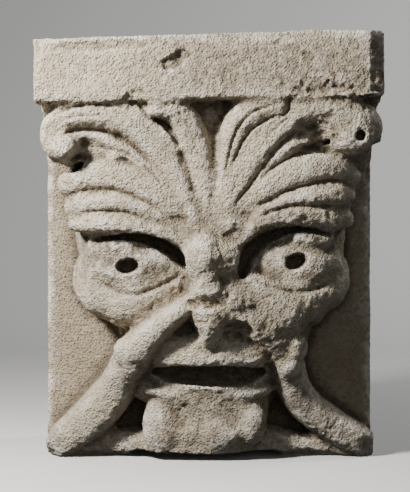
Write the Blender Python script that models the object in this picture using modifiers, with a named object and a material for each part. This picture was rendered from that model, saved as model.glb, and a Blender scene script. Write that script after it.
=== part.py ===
"""A carved stone modillion: a bracket block with a tablet above a grotesque, leaf-browed mask.

The block stands on its bed at z = 0. Its carved front faces -Y and its back, where it is cut off at the
wall, faces +Y. The mask, leaves and arms are laid out on the block in shares: across the half width from
the centre line, up the height from the bed, and out over the relief from the carved ground. A girth is a
share of the half width.
"""
import math

import bmesh
import bpy
import numpy as np
from mathutils import Matrix, Vector

# The squared block and its tablet, in metres
BLOCK_WIDTH = 0.240
BLOCK_HEIGHT = 0.300
TAIL_DEPTH = 0.105
RELIEF = 0.095
TABLET_HEIGHT = 0.047
TABLET_TILT = 0.006
CORNER_LOSS = 0.0115
CORNER_LOSS_DEPTH = 0.0085
COVE_RADIUS = 0.062
HALF_WIDTH = BLOCK_WIDTH / 2
BACK_Y = (TAIL_DEPTH + RELIEF) / 2
GROUND_Y = BACK_Y - TAIL_DEPTH
FRONT_Y = GROUND_Y - RELIEF
TABLET_BED = BLOCK_HEIGHT - TABLET_HEIGHT

# What the drill and the chisel took away
PUPIL_WIDTH = 0.0165
PUPIL_HEIGHT = 0.0110
PUPIL_DEPTH = 0.020
VOLUTE_DRILL_RADIUS = 0.0038
VOLUTE_DRILL_DEPTH = 0.012
MOUTH_OPENING = 0.0150
LINE_WIDTH = 0.0026
LINE_DEPTH = 0.0024
FLUTE_WIDTH = 0.0028
FLUTE_DEPTH = 0.0036
TOP_WEAR = 0.0065
TOP_WEAR_REACH = 0.055

# How finely the stone is worked
CLAY_VOXEL = 0.0020
SOFTENING = 3
MOST_TRIANGLES = 9400
STONE_COLOUR = (0.480, 0.430, 0.360, 1.0)

# The lines along which the leaves, the brows and the eyes are drawn, from the nose outwards
LEFT_LEAF_TOP = [(-0.03, 0.543, 0.82), (-0.099, 0.652, 0.84), (-0.173, 0.738, 0.87),
                 (-0.275, 0.805, 0.92), (-0.420, 0.850, 0.96), (-0.713, 0.860, 0.98),
                 (-0.880, 0.838, 0.96), (-0.955, 0.790, 0.90)]
LEFT_LEAF_FOOT = [(-0.06, 0.530, 0.82), (-0.240, 0.650, 0.84), (-0.355, 0.710, 0.87),
                  (-0.450, 0.744, 0.90), (-0.560, 0.766, 0.92), (-0.690, 0.776, 0.93),
                  (-0.800, 0.770, 0.92), (-0.835, 0.745, 0.90)]
LEFT_SPRIG_TOP = [(0.01, 0.559, 0.80), (0.016, 0.678, 0.82), (-0.003, 0.741, 0.85),
                  (-0.024, 0.784, 0.89), (-0.087, 0.830, 0.95), (-0.180, 0.852, 0.98),
                  (-0.330, 0.850, 0.98)]
LEFT_SPRIG_FOOT = [(-0.04, 0.559, 0.80), (-0.080, 0.648, 0.82), (-0.115, 0.689, 0.84),
                   (-0.155, 0.728, 0.87), (-0.185, 0.765, 0.91), (-0.235, 0.790, 0.95),
                   (-0.335, 0.804, 0.97)]
RIGHT_SPRIG_TOP = [(0.02, 0.559, 0.80), (0.050, 0.686, 0.84), (0.058, 0.739, 0.88),
                   (0.066, 0.785, 0.91), (0.104, 0.824, 0.95), (0.176, 0.847, 0.98),
                   (0.282, 0.858, 0.98), (0.425, 0.856, 0.98)]
RIGHT_SPRIG_FOOT = [(0.06, 0.559, 0.80), (0.118, 0.670, 0.84), (0.155, 0.717, 0.87),
                    (0.195, 0.750, 0.89), (0.250, 0.778, 0.92), (0.316, 0.795, 0.94),
                    (0.380, 0.804, 0.95), (0.440, 0.812, 0.95)]
RIGHT_LEAF_TOP = [(0.06, 0.543, 0.82), (0.130, 0.674, 0.84), (0.170, 0.722, 0.87),
                  (0.230, 0.762, 0.90), (0.330, 0.798, 0.92), (0.430, 0.830, 0.94),
                  (0.540, 0.862, 0.96), (0.734, 0.866, 0.96), (0.908, 0.850, 0.94)]
RIGHT_LEAF_FOOT = [(0.08, 0.532, 0.81), (0.155, 0.607, 0.83), (0.236, 0.651, 0.84),
                   (0.316, 0.695, 0.86), (0.400, 0.739, 0.89), (0.462, 0.761, 0.91),
                   (0.530, 0.776, 0.92), (0.612, 0.792, 0.93), (0.722, 0.801, 0.93)]
LEAVES = [(LEFT_LEAF_TOP, LEFT_LEAF_FOOT), (LEFT_SPRIG_TOP, LEFT_SPRIG_FOOT),
          (RIGHT_SPRIG_TOP, RIGHT_SPRIG_FOOT), (RIGHT_LEAF_TOP, RIGHT_LEAF_FOOT)]

# Each flute's leaf, its share of the way from top to foot edge, and where along the leaf it starts and ends
FLUTES = [(0, 0.28, 0.56, 0.93), (0, 0.60, 0.62, 0.92), (0, 1.00, 0.24, 0.94), (0, 0.00, 0.10, 0.46),
          (2, 0.62, 0.10, 0.96), (2, 1.00, 0.20, 0.90), (3, 1.00, 0.08, 0.78)]
LINES = [
    [(-0.640, 0.430), (-0.560, 0.408), (-0.430, 0.398), (-0.290, 0.416), (-0.140, 0.452)],
    [(0.230, 0.440), (0.350, 0.416), (0.500, 0.404), (0.640, 0.410), (0.760, 0.436)],
    [(-0.260, 0.640), (-0.330, 0.677), (-0.430, 0.710), (-0.520, 0.727), (-0.640, 0.738)],
    [(0.280, 0.655), (0.340, 0.682), (0.430, 0.706), (0.510, 0.722), (0.600, 0.724)],
    [(-0.830, 0.622), (-0.753, 0.636), (-0.579, 0.640), (-0.469, 0.630), (-0.365, 0.612), (-0.240, 0.585)],
    [(0.250, 0.600), (0.380, 0.620), (0.440, 0.636), (0.570, 0.652), (0.704, 0.662), (0.820, 0.658)],
]
LEFT_SOCKET = [(-0.740, 0.515, 0.76, 0.012), (-0.610, 0.528, 0.80, 0.014),
               (-0.440, 0.531, 0.84, 0.024), (-0.290, 0.515, 0.90, 0.036),
               (-0.190, 0.488, 0.90, 0.038), (-0.135, 0.462, 0.80, 0.024)]
RIGHT_SOCKET = [(0.780, 0.528, 0.74, 0.012), (0.660, 0.540, 0.76, 0.014), (0.520, 0.549, 0.82, 0.018),
                (0.370, 0.536, 0.90, 0.030), (0.250, 0.505, 0.90, 0.044), (0.200, 0.466, 0.88, 0.038),
                (0.185, 0.432, 0.78, 0.022)]
PUPILS = ((-0.476, 0.463, -8), (0.505, 0.474, -20))
SURFACE_AT_PUPIL = 0.72


def at(across, up, out):
    """The place at these shares of the half width, the height and the relief."""
    return Vector((across * HALF_WIDTH, GROUND_Y - out * RELIEF, up * BLOCK_HEIGHT))


def along(stations, steps=6):
    """Rows of numbers along a smooth curve through the stations."""
    rows = np.array(stations, float)
    padded = np.vstack([2 * rows[0] - rows[1], rows, 2 * rows[-1] - rows[-2]])
    points = []
    for before, start, end, after in zip(padded, padded[1:], padded[2:], padded[3:]):
        for t in np.arange(steps) / steps:
            bend = 2 * before - 5 * start + 4 * end - after
            swing = 3 * start - before - 3 * end + after
            points.append(start + 0.5 * t * (end - before + t * (bend + t * swing)))
    return np.array(points + [rows[-1]])


def ball(clay, across, up, crest, radii, turn=0.0):
    """A rounded mass that comes out to its crest, with its radii across, deep and up."""
    deep = radii[1] * HALF_WIDTH / RELIEF
    place = Matrix.Translation(at(across, up, crest - deep)) @ Matrix.Rotation(math.radians(turn), 4, "Y")
    size = Matrix.Diagonal((*(HALF_WIDTH * r for r in radii), 1.0))
    bmesh.ops.create_uvsphere(clay, u_segments=28, v_segments=18, radius=1.0, matrix=place @ size)


def ring_shapes(stations, root):
    """Matrices that place a unit circle at each section of a roll, its ends rounded off."""
    rows = along(stations)
    centres = [at(across, up, root) for across, up, crest, girth in rows]
    girths = [max(row[3], 0.012) * HALF_WIDTH for row in rows]
    depths = [max((row[2] - root) * RELIEF, 0.0015) for row in rows]
    shapes = []
    for i, (centre, girth, depth) in enumerate(zip(centres, girths, depths)):
        run = (centres[min(i + 1, len(rows) - 1)] - centres[max(i - 1, 0)]).normalized()
        side = run.cross(Vector((0, 1, 0))).normalized()
        turn = Matrix((side, side.cross(run), run)).transposed().to_4x4()
        shapes.append((centre, run, turn, girth, depth))
    dome = [math.radians(a) for a in (80, 55, 30)]
    sections = [(shapes[0], -a) for a in dome] + [(shape, 0.0) for shape in shapes]
    sections += [(shapes[-1], a) for a in reversed(dome)]
    return [
        Matrix.Translation(centre + run * girth * math.sin(a)) @ turn
        @ Matrix.Diagonal((girth * math.cos(a), depth * math.cos(a), girth, 1.0))
        for (centre, run, turn, girth, depth), a in sections
    ]


def roll(clay, stations, root, squareness=0.62, sides=16):
    """A tapering, round-ended roll through (across, up, crest, girth) stations, half of it above its root."""
    shapes = ring_shapes(stations, root)
    made = bmesh.ops.create_circle(clay, cap_ends=True, segments=sides, radius=1.0)
    for vert in made["verts"]:
        vert.co.x = math.copysign(abs(vert.co.x) ** squareness, vert.co.x)
        vert.co.y = math.copysign(abs(vert.co.y) ** squareness, vert.co.y)
    bmesh.ops.transform(clay, matrix=shapes[0], verts=made["verts"])
    end = made["verts"][0].link_faces[0]
    for here, ahead in zip(shapes, shapes[1:]):
        grown = bmesh.ops.extrude_face_region(clay, geom=[end])["geom"]
        end = next(g for g in grown if isinstance(g, bmesh.types.BMFace))
        bmesh.ops.transform(clay, matrix=ahead @ here.inverted(), verts=list(end.verts))


def slab(clay, low, high):
    """A squared block between two corners."""
    low, high = Vector(low), Vector(high)
    size = Matrix.Diagonal((*(high - low), 1.0))
    bmesh.ops.create_cube(clay, size=1.0, matrix=Matrix.Translation((low + high) / 2) @ size)


def cove(clay, steps=10):
    """The hollow quarter round that carries the ground forward to the tablet's underside."""
    foot = TABLET_BED - COVE_RADIUS
    behind = GROUND_Y + COVE_RADIUS / 2
    profile = [
        (GROUND_Y - COVE_RADIUS * (1 - math.cos(a)), foot + COVE_RADIUS * math.sin(a))
        for a in np.linspace(0, math.pi / 2, steps)
    ]
    head_height = TABLET_BED + TABLET_HEIGHT / 2
    profile += [(GROUND_Y - COVE_RADIUS, head_height), (behind, head_height), (behind, foot)]
    face = clay.faces.new([clay.verts.new((-HALF_WIDTH, y, z)) for y, z in profile])
    grown = bmesh.ops.extrude_face_region(clay, geom=[face])["geom"]
    moved = [g for g in grown if isinstance(g, bmesh.types.BMVert)]
    bmesh.ops.translate(clay, vec=(BLOCK_WIDTH, 0, 0), verts=moved)


def block(clay):
    """The squared stone: its tail towards the wall, the cove and the tablet."""
    slab(clay, (-HALF_WIDTH, GROUND_Y, 0), (HALF_WIDTH, BACK_Y, BLOCK_HEIGHT))
    cove(clay)
    slab(clay, (-HALF_WIDTH, FRONT_Y, TABLET_BED), (HALF_WIDTH, BACK_Y, BLOCK_HEIGHT))


def leaf(clay, top, foot):
    """A full, rounded leaf between its top edge and its foot edge."""
    upper, lower = along(top), along(foot)
    spread = np.linalg.norm((upper - lower) * (1, BLOCK_HEIGHT / HALF_WIDTH, 0), axis=1)
    stations = np.column_stack([(upper + lower) / 2, np.maximum(spread / 2, 0.03)])
    roll(clay, stations[::3], root=0.50, squareness=0.5)


def leaves(clay):
    """The palmette that springs from the nose and curls over both brows to the volutes."""
    for top, foot in LEAVES:
        leaf(clay, top, foot)
    roll(clay, [(-0.134, 0.566, 0.80, 0.030), (-0.289, 0.662, 0.84, 0.040),
                (-0.393, 0.702, 0.86, 0.044), (-0.497, 0.734, 0.88, 0.046),
                (-0.601, 0.752, 0.88, 0.044), (-0.670, 0.757, 0.86, 0.036)], root=0.50)
    roll(clay, [(0.130, 0.585, 0.80, 0.030), (0.200, 0.634, 0.81, 0.034), (0.277, 0.667, 0.82, 0.040),
                (0.358, 0.704, 0.84, 0.044), (0.439, 0.732, 0.86, 0.046), (0.520, 0.752, 0.86, 0.048),
                (0.601, 0.764, 0.84, 0.044), (0.680, 0.766, 0.80, 0.036)], root=0.50)
    roll(clay, [(0.00, 0.545, 0.80, 0.06), (0.010, 0.640, 0.79, 0.08), (0.01, 0.760, 0.78, 0.10)],
         root=0.40)
    roll(clay, [(-0.250, 0.785, 0.86, 0.045), (-0.180, 0.755, 0.84, 0.045),
                (-0.128, 0.709, 0.82, 0.045), (-0.082, 0.658, 0.81, 0.045),
                (-0.048, 0.598, 0.80, 0.040)], root=0.40)
    roll(clay, [(0.103, 0.672, 0.83, 0.050), (0.155, 0.718, 0.86, 0.055), (0.195, 0.751, 0.885, 0.055),
                (0.250, 0.778, 0.90, 0.060), (0.316, 0.794, 0.92, 0.065), (0.420, 0.812, 0.94, 0.075)],
         root=0.40)
    roll(clay, [(0.161, 0.609, 0.80, 0.050), (0.242, 0.655, 0.81, 0.050), (0.317, 0.695, 0.82, 0.050),
                (0.392, 0.734, 0.84, 0.050), (0.462, 0.758, 0.85, 0.050), (0.540, 0.772, 0.86, 0.055)],
         root=0.40)
    roll(clay, [(-0.760, 0.736, 0.76, 0.080), (-0.600, 0.728, 0.80, 0.070)], root=0.30)
    roll(clay, [(0.560, 0.780, 0.84, 0.070), (0.660, 0.772, 0.85, 0.080), (0.750, 0.768, 0.87, 0.085)],
         root=0.40)
    roll(clay, [(-0.700, 0.832, 0.94, 0.050), (-0.850, 0.820, 0.94, 0.054),
                (-0.920, 0.790, 0.92, 0.052), (-0.930, 0.752, 0.90, 0.048),
                (-0.900, 0.722, 0.88, 0.040)], root=0.60)
    roll(clay, [(-0.945, 0.742, 0.88, 0.040), (-0.900, 0.741, 0.93, 0.085),
                (-0.845, 0.740, 0.95, 0.100), (-0.795, 0.739, 0.93, 0.088),
                (-0.755, 0.738, 0.88, 0.050)], root=0.56, squareness=0.6)
    ball(clay, -0.290, 0.823, 0.985, (0.085, 0.16, 0.058))
    roll(clay, [(0.480, 0.832, 0.95, 0.075), (0.600, 0.828, 0.955, 0.080), (0.675, 0.815, 0.96, 0.090),
                (0.765, 0.788, 0.955, 0.145), (0.860, 0.779, 0.945, 0.160),
                (0.935, 0.781, 0.90, 0.120), (0.960, 0.780, 0.84, 0.080)], root=0.60, squareness=0.6)


def head(clay):
    """The mask's core, its swollen cheeks and eyeballs, and the nose with its bulb."""
    roll(clay, [(0.03, 0.320, 0.48, 0.60), (0.03, 0.370, 0.53, 0.72), (0.02, 0.440, 0.56, 0.79),
                (0.01, 0.550, 0.62, 0.83), (0.00, 0.670, 0.66, 0.85)],
         root=0.0, squareness=0.62, sides=32)
    roll(clay, [(0.01, 0.540, 0.77, 0.20), (0.00, 0.620, 0.77, 0.40), (0.00, 0.720, 0.77, 0.66),
                (0.00, 0.790, 0.72, 0.80)], root=0.2, squareness=0.7, sides=32)
    roll(clay, [(-0.570, 0.432, 0.63, 0.260), (-0.45, 0.428, 0.69, 0.295), (-0.260, 0.450, 0.66, 0.250)],
         0.20)
    roll(clay, [(0.615, 0.436, 0.63, 0.240), (0.51, 0.424, 0.69, 0.290), (0.320, 0.440, 0.66, 0.250)],
         0.20)
    roll(clay, [(0.700, 0.526, 0.66, 0.060), (0.600, 0.530, 0.71, 0.075), (0.500, 0.534, 0.72, 0.070)],
         root=0.30)
    ball(clay, -0.43, 0.466, 0.72, (0.310, 0.22, 0.165), turn=-6)
    roll(clay, [(-0.690, 0.510, 0.66, 0.060), (-0.600, 0.514, 0.71, 0.075),
                (-0.460, 0.518, 0.73, 0.075)], root=0.30)
    ball(clay, 0.490, 0.474, 0.72, (0.310, 0.22, 0.165), turn=8)
    ball(clay, -0.034, 0.484, 0.985, (0.125, 0.20, 0.155))
    ball(clay, 0.070, 0.476, 0.900, (0.145, 0.20, 0.170))
    roll(clay, [(0.060, 0.550, 0.80, 0.090), (0.090, 0.500, 0.80, 0.100), (0.105, 0.440, 0.82, 0.110),
                (0.120, 0.390, 0.86, 0.120), (0.130, 0.345, 0.84, 0.110)], root=0.40)
    roll(clay, [(-0.01, 0.560, 0.80, 0.09), (-0.02, 0.500, 0.78, 0.085), (-0.02, 0.440, 0.88, 0.11),
                (0.00, 0.395, 0.92, 0.13), (0.01, 0.345, 0.90, 0.13), (0.01, 0.305, 0.86, 0.08)],
         root=0.40)
    roll(clay, [(0.160, 0.430, 0.80, 0.110), (0.290, 0.390, 0.80, 0.150), (0.450, 0.345, 0.76, 0.160)],
         root=0.40)


CHIN_LUMPS = [(-0.290, 0.085, 0.535, 0.100, 0.200), (0.059, 0.070, 0.560, 0.165, 0.140),
              (0.245, 0.090, 0.535, 0.090, 0.150)]


def muzzle(clay):
    """The mouth's swelling, its lips, the chin and the neck that spreads to the bed."""
    ball(clay, 0.00, 0.235, 0.64, (0.44, 0.44, 0.34))
    roll(clay, [(-0.26, 0.255, 0.64, 0.090), (0.00, 0.262, 0.68, 0.120), (0.27, 0.255, 0.64, 0.090)],
         0.45)
    roll(clay, [(-0.37, 0.168, 0.51, 0.040), (-0.20, 0.158, 0.552, 0.060), (0.14, 0.158, 0.552, 0.060),
                (0.34, 0.168, 0.51, 0.040)], root=0.30, squareness=0.9)
    roll(clay, [(-0.014, 0.190, 0.545, 0.385), (-0.014, 0.160, 0.540, 0.390),
                (-0.012, 0.112, 0.53, 0.375), (-0.040, 0.065, 0.51, 0.350), (-0.070, 0.0, 0.48, 0.360),
                (-0.09, -0.06, 0.46, 0.380)], root=0.0, squareness=0.62, sides=32)
    for across, up, crest, girth, tall in CHIN_LUMPS:
        ball(clay, across, up, crest, (girth, 0.11, tall))


def brows(clay):
    """Three rolls stacked over each eye, from the temples in to the nose."""
    roll(clay, [(-0.815, 0.654, 0.70, 0.067), (-0.765, 0.660, 0.77, 0.090),
                (-0.678, 0.673, 0.82, 0.112), (-0.579, 0.674, 0.84, 0.120),
                (-0.469, 0.664, 0.84, 0.115), (-0.365, 0.643, 0.84, 0.101),
                (-0.279, 0.617, 0.83, 0.085), (-0.192, 0.589, 0.81, 0.064),
                (-0.105, 0.566, 0.79, 0.048)], root=0.50)
    roll(clay, [(-0.800, 0.600, 0.68, 0.057), (-0.753, 0.608, 0.76, 0.069),
                (-0.678, 0.612, 0.80, 0.072), (-0.568, 0.611, 0.83, 0.069),
                (-0.464, 0.605, 0.83, 0.061), (-0.365, 0.593, 0.83, 0.051),
                (-0.279, 0.577, 0.82, 0.041), (-0.172, 0.549, 0.80, 0.039)], root=0.50)
    roll(clay, [(-0.785, 0.564, 0.66, 0.052), (-0.740, 0.564, 0.74, 0.063),
                (-0.678, 0.564, 0.79, 0.069), (-0.568, 0.563, 0.82, 0.072),
                (-0.464, 0.561, 0.83, 0.071), (-0.365, 0.554, 0.83, 0.069),
                (-0.279, 0.545, 0.83, 0.063), (-0.192, 0.532, 0.81, 0.062),
                (-0.115, 0.514, 0.79, 0.057)], root=0.50)
    roll(clay, [(0.835, 0.672, 0.66, 0.064), (0.768, 0.686, 0.75, 0.094), (0.635, 0.690, 0.82, 0.114),
                (0.502, 0.681, 0.84, 0.124), (0.415, 0.666, 0.84, 0.124), (0.329, 0.645, 0.84, 0.113),
                (0.271, 0.626, 0.83, 0.085), (0.184, 0.600, 0.81, 0.067), (0.097, 0.575, 0.79, 0.053)],
         root=0.50)
    roll(clay, [(0.815, 0.628, 0.68, 0.052), (0.785, 0.629, 0.74, 0.069), (0.704, 0.629, 0.79, 0.077),
                (0.572, 0.625, 0.83, 0.064), (0.427, 0.613, 0.83, 0.053), (0.329, 0.597, 0.83, 0.041),
                (0.242, 0.580, 0.81, 0.037)], root=0.50)
    roll(clay, [(0.800, 0.572, 0.66, 0.060), (0.704, 0.576, 0.74, 0.074), (0.572, 0.582, 0.80, 0.071),
                (0.427, 0.578, 0.83, 0.063), (0.329, 0.570, 0.83, 0.057), (0.242, 0.550, 0.82, 0.062),
                (0.172, 0.528, 0.81, 0.062), (0.115, 0.505, 0.79, 0.057)], root=0.50)
    roll(clay, [(-0.740, 0.612, 0.70, 0.120), (-0.600, 0.618, 0.77, 0.170),
                (-0.430, 0.610, 0.78, 0.170), (-0.280, 0.582, 0.78, 0.130),
                (-0.150, 0.548, 0.77, 0.090)], root=0.40)
    roll(clay, [(0.740, 0.626, 0.70, 0.120), (0.600, 0.632, 0.77, 0.170), (0.430, 0.624, 0.78, 0.170),
                (0.290, 0.596, 0.78, 0.130), (0.160, 0.560, 0.77, 0.090)], root=0.40)
    ball(clay, -0.130, 0.549, 0.81, (0.075, 0.20, 0.075))
    ball(clay, 0.185, 0.564, 0.81, (0.080, 0.20, 0.075))


def arms(clay):
    """Both arms, bent at the block's lower corners, with the hands drawn up to the nose."""
    roll(clay, [(-0.900, 0.030, 0.30, 0.100), (-0.850, 0.050, 0.34, 0.112),
                (-0.708, 0.097, 0.40, 0.128), (-0.584, 0.153, 0.48, 0.127),
                (-0.527, 0.198, 0.56, 0.106), (-0.460, 0.240, 0.68, 0.122),
                (-0.375, 0.288, 0.77, 0.115), (-0.279, 0.325, 0.82, 0.095),
                (-0.174, 0.358, 0.85, 0.080), (-0.070, 0.383, 0.85, 0.066)], root=0.10, squareness=0.60)
    roll(clay, [(0.940, 0.030, 0.28, 0.092), (0.855, 0.050, 0.33, 0.100), (0.732, 0.083, 0.38, 0.106),
                (0.609, 0.123, 0.44, 0.108), (0.523, 0.172, 0.51, 0.104), (0.464, 0.237, 0.63, 0.102),
                (0.410, 0.279, 0.71, 0.110), (0.312, 0.315, 0.79, 0.108), (0.184, 0.348, 0.84, 0.092),
                (0.080, 0.376, 0.84, 0.070)], root=0.10, squareness=0.60)
    roll(clay, [(-0.86, 0.020, 0.20, 0.070), (-0.62, 0.030, 0.24, 0.080), (-0.36, 0.040, 0.32, 0.090)],
         0.0)
    roll(clay, [(0.86, 0.020, 0.20, 0.070), (0.62, 0.020, 0.24, 0.080), (0.32, 0.040, 0.32, 0.090)], 0.0)
    ball(clay, 0.470, 0.232, 0.66, (0.085, 0.110, 0.090))
    ball(clay, 0.500, 0.275, 0.68, (0.085, 0.110, 0.110))
    ball(clay, -0.465, 0.262, 0.71, (0.100, 0.120, 0.100))
    ball(clay, -0.385, 0.175, 0.44, (0.080, 0.120, 0.100))


def hollows(clay):
    """What is cut away: sockets, drilled pupils and volute, nostrils, mouth and the tablet's lost corner."""
    for line in (LEFT_SOCKET, RIGHT_SOCKET):
        roll(clay, line, root=0.66, squareness=0.7)
    for across, up, turn in PUPILS:
        radii = (PUPIL_WIDTH / BLOCK_WIDTH, PUPIL_DEPTH / HALF_WIDTH, PUPIL_HEIGHT / BLOCK_WIDTH)
        ball(clay, across, up, SURFACE_AT_PUPIL + PUPIL_DEPTH / RELIEF, radii, turn=turn)
    drill = VOLUTE_DRILL_RADIUS / HALF_WIDTH
    sunk = VOLUTE_DRILL_DEPTH / HALF_WIDTH
    ball(clay, 0.864, 0.762, 0.92 + VOLUTE_DRILL_DEPTH / RELIEF, (drill, sunk, drill))
    ball(clay, -0.134, 0.301, 1.02, (0.088, 0.1425, 0.085))
    ball(clay, 0.165, 0.301, 1.02, (0.118, 0.1425, 0.085))
    lip = MOUTH_OPENING / BLOCK_WIDTH
    roll(clay, [(-0.33, 0.212, 0.90, lip * 0.35), (-0.20, 0.208, 0.90, lip * 0.85),
                (0.0, 0.204, 0.90, lip), (0.20, 0.204, 0.90, lip * 0.95),
                (0.315, 0.210, 0.90, lip * 0.45)], root=0.57, squareness=0.7)
    roll(clay, [(-0.835, 0.688, 0.84, 0.012), (-0.785, 0.690, 0.84, 0.022),
                (-0.735, 0.702, 0.84, 0.016)], root=0.60)
    roll(clay, [(-0.318, 0.802, 0.96, 0.016), (-0.262, 0.787, 0.96, 0.022),
                (-0.205, 0.760, 0.93, 0.016), (-0.172, 0.738, 0.90, 0.010)], root=0.80)
    roll(clay, [(0.600, 0.744, 0.90, 0.012), (0.660, 0.746, 0.90, 0.018), (0.715, 0.756, 0.90, 0.012)],
         root=0.76)
    roll(clay, [(-0.930, 0.846, 1.00, 0.010), (-0.700, 0.856, 1.00, 0.012),
                (-0.430, 0.856, 1.00, 0.012)], root=0.84)
    roll(clay, [(-0.440, 0.0, 1.00, 0.045), (0.0, 0.0, 1.00, 0.040), (0.400, 0.0, 1.00, 0.045)],
         0.28, 0.5)
    corner = (HALF_WIDTH, FRONT_Y, TABLET_BED)
    place = Matrix.Translation(corner)
    place @= Matrix.Diagonal((2 * CORNER_LOSS, 2 * CORNER_LOSS_DEPTH, 4 * TABLET_HEIGHT, 1.0))
    bmesh.ops.create_cube(clay, size=math.sqrt(0.5), matrix=place @ Matrix.Rotation(math.pi / 4, 4, "Z"))


def mesh_of(shape, name):
    """A mesh from functions that add their forms to a bmesh, faces outwards."""
    clay = bmesh.new()
    for add in shape:
        add(clay)
    bmesh.ops.recalc_face_normals(clay, faces=clay.faces)
    mesh = bpy.data.meshes.new(name)
    clay.to_mesh(mesh)
    clay.free()
    return mesh


def worked(mesh, name, modifiers):
    """The mesh after these modifiers, each a type with its settings."""
    body = bpy.data.objects.new(name, mesh)
    bpy.context.scene.collection.objects.link(body)
    for kind, settings in modifiers:
        modifier = body.modifiers.new(kind.title(), kind)
        for key, value in settings.items():
            setattr(modifier, key, value)
    done = bpy.data.meshes.new_from_object(body.evaluated_get(bpy.context.evaluated_depsgraph_get()))
    bpy.data.objects.remove(body)
    return done


def helper(mesh, name):
    """An object that a Boolean works with, left out of the model."""
    body = bpy.data.objects.new(name, mesh)
    bpy.context.scene.collection.objects.link(body)
    body.hide_render = True
    body.display_type = "WIRE"
    return body


def spots_of(mesh):
    """The mesh's points as rows of x, y, z, and its normals."""
    spots = np.empty(len(mesh.vertices) * 3, np.float32)
    normals = np.empty_like(spots)
    mesh.vertices.foreach_get("co", spots)
    mesh.vertices.foreach_get("normal", normals)
    return spots.reshape(-1, 3).astype(float), normals.reshape(-1, 3)


def put_back(mesh, spots):
    """Gives the mesh its moved points."""
    mesh.vertices.foreach_set("co", spots.astype(np.float32).ravel())
    mesh.update()


def chisel(spots, line, width, depth):
    """Cuts a groove into the carved front along a line of (across, up) shares, fading at both ends."""
    points = along([place[:2] for place in line], steps=8) * (HALF_WIDTH, BLOCK_HEIGHT)
    low, high = points.min(0) - width, points.max(0) + width
    flat = spots[:, (0, 2)]
    near = np.flatnonzero(
        ((flat > low) & (flat < high)).all(axis=1) & (spots[:, 1] < GROUND_Y - 0.2 * RELIEF)
        & (spots[:, 2] < TABLET_BED)
    )
    gap = np.full(len(near), np.inf)
    place = np.zeros(len(near))
    for i, (start, end) in enumerate(zip(points, points[1:])):
        run = end - start
        t = np.clip((flat[near] - start) @ run / (run @ run), 0, 1)
        away = np.linalg.norm(flat[near] - start - t[:, None] * run, axis=1)
        closer = away < gap
        gap[closer] = away[closer]
        place[closer] = (i + t[closer]) / (len(points) - 1)
    fade = np.clip(np.minimum(place, 1 - place) * 8, 0, 1)
    cut = np.clip(1 - gap / width, 0, 1) ** 1.3
    spots[near, 1] += depth * cut * fade


def cut_lines(spots):
    """The leaves' flutes and the lines of brows and lids."""
    for number, share, start, end in FLUTES:
        upper, lower = (along(edge) for edge in LEAVES[number])
        line = (upper + (lower - upper) * share)[int(start * len(upper)):max(int(end * len(upper)), 1)]
        chisel(spots, line[::3], FLUTE_WIDTH, FLUTE_DEPTH)
    for line in LINES:
        chisel(spots, line, LINE_WIDTH, LINE_DEPTH)


def set_askew(spots):
    """The tablet's lower edge was cut sloping, lower at the left."""
    share = np.clip((BLOCK_HEIGHT - spots[:, 2]) / TABLET_HEIGHT, 0, 1)
    below = np.clip((spots[:, 2] - TABLET_BED + TABLET_HEIGHT / 3) / (TABLET_HEIGHT / 4), 0, 1)
    ahead = np.clip((GROUND_Y - COVE_RADIUS - spots[:, 1]) / (RELIEF - COVE_RADIUS) * 4, 0, 1)
    spots[:, 2] += TABLET_TILT * spots[:, 0] / BLOCK_WIDTH * share * below * ahead


def wear_top(spots):
    """Time lowered the top edge towards the left front corner."""
    left = np.clip((HALF_WIDTH * 0.6 - spots[:, 0]) / (1.6 * HALF_WIDTH), 0, 1)
    front = np.clip(1 - (spots[:, 1] - FRONT_Y) / TOP_WEAR_REACH, 0, 1)
    high = np.clip((spots[:, 2] - BLOCK_HEIGHT + 4 * TOP_WEAR) / (4 * TOP_WEAR), 0, 1)
    spots[:, 2] -= TOP_WEAR * left * front * high


def flatten(mesh):
    """Brings the points that lie on the bed, the top or the back exactly onto that plane."""
    spots, normals = spots_of(mesh)
    for axis, level in ((2, 0.0), (2, BLOCK_HEIGHT), (1, BACK_Y)):
        near = abs(spots[:, axis] - level) < CLAY_VOXEL / 8
        spots[near, axis] = level
    put_back(mesh, spots)


def stone():
    """A rough, pale limestone."""
    material = bpy.data.materials.new("limestone")
    material.use_nodes = True
    shader = material.node_tree.nodes["Principled BSDF"]
    shader.inputs["Base Color"].default_value = STONE_COLOUR
    shader.inputs["Roughness"].default_value = 0.95
    return material


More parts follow.
